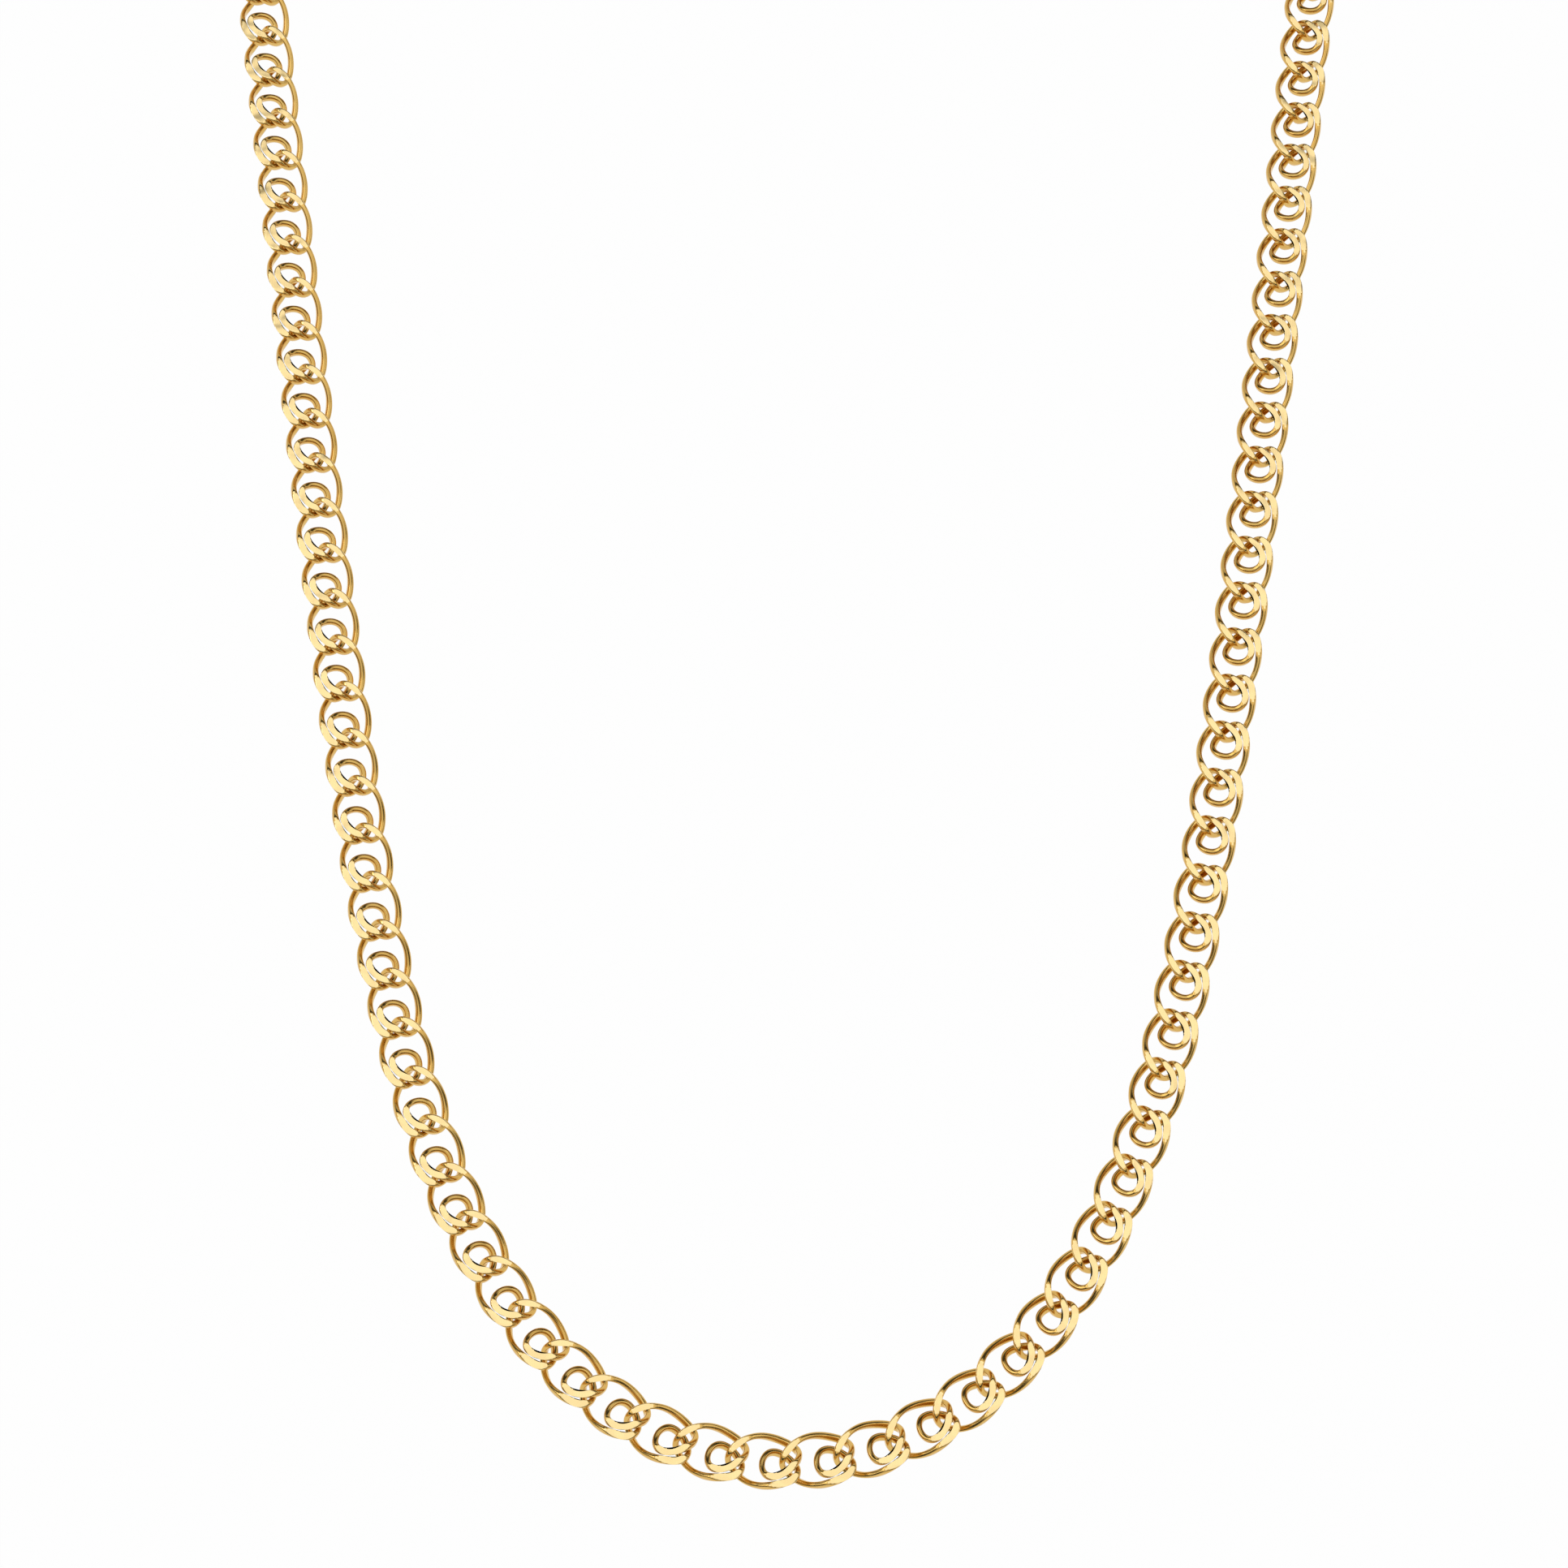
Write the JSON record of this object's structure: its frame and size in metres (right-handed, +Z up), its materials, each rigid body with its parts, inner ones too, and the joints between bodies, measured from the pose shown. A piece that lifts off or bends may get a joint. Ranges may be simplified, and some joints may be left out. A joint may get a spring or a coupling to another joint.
{
  "type": "chain necklace",
  "caption": "Gold-coloured chain necklace of twisted double-loop curb links with planed faces, laid flat in a U, with a sprung lobster clasp and an end ring.",
  "frame": {"origin": "middle of the whole necklace's box, on the flat surface that it lies on", "axes": "+X to the right strand, +Y from the front of the U towards its two ends, +Z up off the surface"},
  "size_m": [0.1146, 0.2121, 0.0032],
  "materials": {
    "polished_gold": "polished yellow gold colour, planed faces bright",
    "spring_steel": "bright rolled strip"
  },
  "bodies": {
    "front_link": {"front_link": "polished_gold"},
    "right_links_01": {"right_links_01": "polished_gold"},
    "right_links_02": {"right_links_02": "polished_gold"},
    "right_links_03": {"right_links_03": "polished_gold"},
    "right_links_04": {"right_links_04": "polished_gold"},
    "right_links_05": {"right_links_05": "polished_gold"},
    "right_links_06": {"right_links_06": "polished_gold"},
    "right_links_07": {"right_links_07": "polished_gold"},
    "right_links_08": {"right_links_08": "polished_gold"},
    "right_links_09": {"right_links_09": "polished_gold"},
    "right_links_10": {"right_links_10": "polished_gold"},
    "right_links_11": {"right_links_11": "polished_gold"},
    "right_links_12": {"right_links_12": "polished_gold"},
    "right_links_13": {"right_links_13": "polished_gold"},
    "right_links_14": {"right_links_14": "polished_gold"},
    "right_links_15": {"right_links_15": "polished_gold"},
    "right_links_16": {"right_links_16": "polished_gold"},
    "right_links_17": {"right_links_17": "polished_gold"},
    "right_links_18": {"right_links_18": "polished_gold"},
    "right_links_19": {"right_links_19": "polished_gold"},
    "right_links_20": {"right_links_20": "polished_gold"},
    "right_links_21": {"right_links_21": "polished_gold"},
    "right_links_22": {"right_links_22": "polished_gold"},
    "right_links_23": {"right_links_23": "polished_gold"},
    "right_links_24": {"right_links_24": "polished_gold"},
    "right_links_25": {"right_links_25": "polished_gold"},
    "right_links_26": {"right_links_26": "polished_gold"},
    "left_links_01": {"left_links_01": "polished_gold"},
    "left_links_02": {"left_links_02": "polished_gold"},
    "left_links_03": {"left_links_03": "polished_gold"},
    "left_links_04": {"left_links_04": "polished_gold"},
    "left_links_05": {"left_links_05": "polished_gold"},
    "left_links_06": {"left_links_06": "polished_gold"},
    "left_links_07": {"left_links_07": "polished_gold"},
    "left_links_08": {"left_links_08": "polished_gold"},
    "left_links_09": {"left_links_09": "polished_gold"},
    "left_links_10": {"left_links_10": "polished_gold"},
    "left_links_11": {"left_links_11": "polished_gold"},
    "left_links_12": {"left_links_12": "polished_gold"},
    "left_links_13": {"left_links_13": "polished_gold"},
    "left_links_14": {"left_links_14": "polished_gold"},
    "left_links_15": {"left_links_15": "polished_gold"},
    "left_links_16": {"left_links_16": "polished_gold"},
    "left_links_17": {"left_links_17": "polished_gold"},
    "left_links_18": {"left_links_18": "polished_gold"},
    "left_links_19": {"left_links_19": "polished_gold"},
    "left_links_20": {"left_links_20": "polished_gold"},
    "left_links_21": {"left_links_21": "polished_gold"},
    "left_links_22": {"left_links_22": "polished_gold"},
    "left_links_23": {"left_links_23": "polished_gold"},
    "left_links_24": {"left_links_24": "polished_gold"},
    "left_links_25": {"left_links_25": "polished_gold"},
    "left_links_26": {"left_links_26": "polished_gold"},
    "end_ring": {"end_ring": "polished_gold"},
    "jump_ring": {"jump_ring": "polished_gold"},
    "clasp": {"clasp_body": "polished_gold", "clasp_pin": "polished_gold", "clasp_spring": "spring_steel"},
    "trigger": {"clasp_trigger": "polished_gold"}
  },
  "joints": [
    {"name": "right_bend_01", "type": "hinge", "parent": "front_link", "child": "right_links_01", "pos_m": [0.00027, -0.10382, 0.00095], "axis": [0, 0, 1], "range_deg": [-28.62, 7.38]},
    {"name": "right_flex_02", "type": "hinge", "parent": "right_links_01", "child": "right_links_02", "pos_m": [0.00505, -0.10332, 0.00095], "axis": [-0.1935, 0.9811, 0], "range_deg": [-16, 16]},
    {"name": "right_bend_03", "type": "hinge", "parent": "right_links_02", "child": "right_links_03", "pos_m": [0.00965, -0.10197, 0.00095], "axis": [0, 0, -1], "range_deg": [-8.1, 27.9]},
    {"name": "right_flex_04", "type": "hinge", "parent": "right_links_03", "child": "right_links_04", "pos_m": [0.01396, -0.09985, 0.00095], "axis": [0.5123, -0.8588, 0], "range_deg": [-16, 16]},
    {"name": "right_bend_05", "type": "hinge", "parent": "right_links_04", "child": "right_links_05", "pos_m": [0.01787, -0.09707, 0.00095], "axis": [0, 0, 1], "range_deg": [-26.14, 9.86]},
    {"name": "right_flex_06", "type": "hinge", "parent": "right_links_05", "child": "right_links_06", "pos_m": [0.02135, -0.09376, 0.00095], "axis": [-0.732, 0.6813, 0], "range_deg": [-16, 16]},
    {"name": "right_bend_07", "type": "hinge", "parent": "right_links_06", "child": "right_links_07", "pos_m": [0.0244, -0.09005, 0.00095], "axis": [0, 0, -1], "range_deg": [-11.96, 24.04]},
    {"name": "right_flex_08", "type": "hinge", "parent": "right_links_07", "child": "right_links_08", "pos_m": [0.02704, -0.08604, 0.00095], "axis": [0.8586, -0.5127, 0], "range_deg": [-16, 16]},
    {"name": "right_bend_09", "type": "hinge", "parent": "right_links_08", "child": "right_links_09", "pos_m": [0.02931, -0.08182, 0.00095], "axis": [0, 0, 1], "range_deg": [-22.14, 13.86]},
    {"name": "right_flex_10", "type": "hinge", "parent": "right_links_09", "child": "right_links_10", "pos_m": [0.03299, -0.07295, 0.00095], "axis": [-0.9428, 0.3333, 0], "range_deg": [-16, 16]},
    {"name": "right_bend_11", "type": "hinge", "parent": "right_links_10", "child": "right_links_11", "pos_m": [0.0358, -0.06378, 0.00095], "axis": [0, 0, -1], "range_deg": [-16.31, 19.69]},
    {"name": "right_flex_12", "type": "hinge", "parent": "right_links_11", "child": "right_links_12", "pos_m": [0.03806, -0.05445, 0.00095], "axis": [0.9766, -0.2152, 0], "range_deg": [-16, 16]},
    {"name": "right_bend_13", "type": "hinge", "parent": "right_links_12", "child": "right_links_13", "pos_m": [0.03997, -0.04504, 0.00095], "axis": [0, 0, 1], "range_deg": [-18.63, 17.37]},
    {"name": "right_flex_14", "type": "hinge", "parent": "right_links_13", "child": "right_links_14", "pos_m": [0.04167, -0.03559, 0.00095], "axis": [-0.9855, 0.1699, 0], "range_deg": [-16, 16]},
    {"name": "right_bend_15", "type": "hinge", "parent": "right_links_14", "child": "right_links_15", "pos_m": [0.04325, -0.02612, 0.00095], "axis": [0, 0, -1], "range_deg": [-17.77, 18.23]},
    {"name": "right_flex_16", "type": "hinge", "parent": "right_links_15", "child": "right_links_16", "pos_m": [0.04475, -0.01664, 0.00095], "axis": [0.9882, -0.1534, 0], "range_deg": [-16, 16]},
    {"name": "right_bend_17", "type": "hinge", "parent": "right_links_16", "child": "right_links_17", "pos_m": [0.0462, -0.00715, 0.00095], "axis": [0, 0, 1], "range_deg": [-18.08, 17.92]},
    {"name": "right_flex_18", "type": "hinge", "parent": "right_links_17", "child": "right_links_18", "pos_m": [0.04763, 0.00234, 0.00095], "axis": [-0.9891, 0.1476, 0], "range_deg": [-16, 16]},
    {"name": "right_bend_19", "type": "hinge", "parent": "right_links_18", "child": "right_links_19", "pos_m": [0.04904, 0.01184, 0.00095], "axis": [0, 0, -1], "range_deg": [-17.97, 18.03]},
    {"name": "right_flex_20", "type": "hinge", "parent": "right_links_19", "child": "right_links_20", "pos_m": [0.05044, 0.02134, 0.00095], "axis": [0.9894, -0.1455, 0], "range_deg": [-16, 16]},
    {"name": "right_bend_21", "type": "hinge", "parent": "right_links_20", "child": "right_links_21", "pos_m": [0.05183, 0.03083, 0.00095], "axis": [0, 0, 1], "range_deg": [-18.01, 17.99]},
    {"name": "right_flex_22", "type": "hinge", "parent": "right_links_21", "child": "right_links_22", "pos_m": [0.05322, 0.04033, 0.00095], "axis": [-0.9895, 0.1448, 0], "range_deg": [-16, 16]},
    {"name": "right_bend_23", "type": "hinge", "parent": "right_links_22", "child": "right_links_23", "pos_m": [0.05432, 0.04987, 0.00095], "axis": [0, 0, -1], "range_deg": [-14.5, 21.5]},
    {"name": "right_flex_24", "type": "hinge", "parent": "right_links_23", "child": "right_links_24", "pos_m": [0.05425, 0.05946, 0.00095], "axis": [0.9976, 0.0687, 0], "range_deg": [-16, 16]},
    {"name": "right_bend_25", "type": "hinge", "parent": "right_links_24", "child": "right_links_25", "pos_m": [0.053, 0.06898, 0.00095], "axis": [0, 0, 1], "range_deg": [-21.5, 14.5]},
    {"name": "right_flex_26", "type": "hinge", "parent": "right_links_25", "child": "right_links_26", "pos_m": [0.05061, 0.07827, 0.00095], "axis": [-0.9513, -0.3081, 0], "range_deg": [-16, 16]},
    {"name": "left_bend_01", "type": "hinge", "parent": "front_link", "child": "left_links_01", "pos_m": [-0.00451, -0.10343, 0.00095], "axis": [0, 0, 1], "range_deg": [-7.53, 28.47]},
    {"name": "left_flex_02", "type": "hinge", "parent": "left_links_01", "child": "left_links_02", "pos_m": [-0.00915, -0.10218, 0.00095], "axis": [0.3441, 0.9389, 0], "range_deg": [-16, 16]},
    {"name": "left_bend_03", "type": "hinge", "parent": "left_links_02", "child": "left_links_03", "pos_m": [-0.01349, -0.10014, 0.00095], "axis": [0, 0, -1], "range_deg": [-27.21, 8.79]},
    {"name": "left_flex_04", "type": "hinge", "parent": "left_links_03", "child": "left_links_04", "pos_m": [-0.01746, -0.09743, 0.00095], "axis": [-0.622, -0.783, 0], "range_deg": [-16, 16]},
    {"name": "left_bend_05", "type": "hinge", "parent": "left_links_04", "child": "left_links_05", "pos_m": [-0.02099, -0.09418, 0.00095], "axis": [0, 0, 1], "range_deg": [-10.78, 25.22]},
    {"name": "left_flex_06", "type": "hinge", "parent": "left_links_05", "child": "left_links_06", "pos_m": [-0.02409, -0.09052, 0.00095], "axis": [0.7974, 0.6034, 0], "range_deg": [-16, 16]},
    {"name": "left_bend_07", "type": "hinge", "parent": "left_links_06", "child": "left_links_07", "pos_m": [-0.02677, -0.08654, 0.00095], "axis": [0, 0, -1], "range_deg": [-23.16, 12.84]},
    {"name": "left_flex_08", "type": "hinge", "parent": "left_links_07", "child": "left_links_08", "pos_m": [-0.02909, -0.08234, 0.00095], "axis": [-0.893, -0.4501, 0], "range_deg": [-16, 16]},
    {"name": "left_bend_09", "type": "hinge", "parent": "left_links_08", "child": "left_links_09", "pos_m": [-0.03109, -0.07797, 0.00095], "axis": [0, 0, 1], "range_deg": [-14.55, 21.45]},
    {"name": "left_flex_10", "type": "hinge", "parent": "left_links_09", "child": "left_links_10", "pos_m": [-0.03434, -0.06894, 0.00095], "axis": [0.9547, 0.2975, 0], "range_deg": [-16, 16]},
    {"name": "left_bend_11", "type": "hinge", "parent": "left_links_10", "child": "left_links_11", "pos_m": [-0.03688, -0.05968, 0.00095], "axis": [0, 0, -1], "range_deg": [-19.37, 16.63]},
    {"name": "left_flex_12", "type": "hinge", "parent": "left_links_11", "child": "left_links_12", "pos_m": [-0.03897, -0.05031, 0.00095], "axis": [-0.9796, -0.201, 0], "range_deg": [-16, 16]},
    {"name": "left_bend_13", "type": "hinge", "parent": "left_links_12", "child": "left_links_13", "pos_m": [-0.04077, -0.04089, 0.00095], "axis": [0, 0, 1], "range_deg": [-17.49, 18.51]},
    {"name": "left_flex_14", "type": "hinge", "parent": "left_links_13", "child": "left_links_14", "pos_m": [-0.04241, -0.03143, 0.00095], "axis": [0.9863, 0.1647, 0], "range_deg": [-16, 16]},
    {"name": "left_bend_15", "type": "hinge", "parent": "left_links_14", "child": "left_links_15", "pos_m": [-0.04395, -0.02195, 0.00095], "axis": [0, 0, -1], "range_deg": [-18.18, 17.82]},
    {"name": "left_flex_16", "type": "hinge", "parent": "left_links_15", "child": "left_links_16", "pos_m": [-0.04542, -0.01247, 0.00095], "axis": [-0.9884, -0.1516, 0], "range_deg": [-16, 16]},
    {"name": "left_bend_17", "type": "hinge", "parent": "left_links_16", "child": "left_links_17", "pos_m": [-0.04686, -0.00297, 0.00095], "axis": [0, 0, 1], "range_deg": [-17.94, 18.06]},
    {"name": "left_flex_18", "type": "hinge", "parent": "left_links_17", "child": "left_links_18", "pos_m": [-0.04828, 0.00652, 0.00095], "axis": [0.9892, 0.1469, 0], "range_deg": [-16, 16]},
    {"name": "left_bend_19", "type": "hinge", "parent": "left_links_18", "child": "left_links_19", "pos_m": [-0.04969, 0.01602, 0.00095], "axis": [0, 0, -1], "range_deg": [-18.02, 17.98]},
    {"name": "left_flex_20", "type": "hinge", "parent": "left_links_19", "child": "left_links_20", "pos_m": [-0.05108, 0.02552, 0.00095], "axis": [-0.9894, -0.1453, 0], "range_deg": [-16, 16]},
    {"name": "left_bend_21", "type": "hinge", "parent": "left_links_20", "child": "left_links_21", "pos_m": [-0.05248, 0.03501, 0.00095], "axis": [0, 0, 1], "range_deg": [-17.99, 18.01]},
    {"name": "left_flex_22", "type": "hinge", "parent": "left_links_21", "child": "left_links_22", "pos_m": [-0.05387, 0.04451, 0.00095], "axis": [0.9895, 0.1447, 0], "range_deg": [-16, 16]},
    {"name": "left_bend_23", "type": "hinge", "parent": "left_links_22", "child": "left_links_23", "pos_m": [-0.05496, 0.05405, 0.00095], "axis": [0, 0, -1], "range_deg": [-21.5, 14.5]},
    {"name": "left_flex_24", "type": "hinge", "parent": "left_links_23", "child": "left_links_24", "pos_m": [-0.05489, 0.06364, 0.00095], "axis": [-0.9976, 0.0688, 0], "range_deg": [-16, 16]},
    {"name": "left_bend_25", "type": "hinge", "parent": "left_links_24", "child": "left_links_25", "pos_m": [-0.05365, 0.07316, 0.00095], "axis": [0, 0, 1], "range_deg": [-14.5, 21.5]},
    {"name": "left_flex_26", "type": "hinge", "parent": "left_links_25", "child": "left_links_26", "pos_m": [-0.05125, 0.08245, 0.00095], "axis": [0.9513, -0.3081, 0], "range_deg": [-16, 16]},
    {"name": "end_ring_swing", "type": "hinge", "parent": "right_links_26", "child": "end_ring", "pos_m": [0.047, 0.08743, 0.00095], "axis": [0, 0, 1], "range_deg": [-12, 12]},
    {"name": "jump_ring_swing", "type": "hinge", "parent": "left_links_26", "child": "jump_ring", "pos_m": [-0.04748, 0.092, 0.00095], "axis": [0.9191, -0.3939, 0], "range_deg": [-12, 12]},
    {"name": "clasp_swing", "type": "hinge", "parent": "jump_ring", "child": "clasp", "pos_m": [-0.0466, 0.09404, 0.0014], "axis": [0, 0, 1], "range_deg": [-15, 15]},
    {"name": "trigger_opens", "type": "hinge", "parent": "clasp", "child": "trigger", "pos_m": [-0.04613, 0.09857, 0.0014], "axis": [0, 0, -1], "range_deg": [0, 24], "stiffness_Nm_per_rad": 0.002, "springref_deg": -11.46}
  ]
}
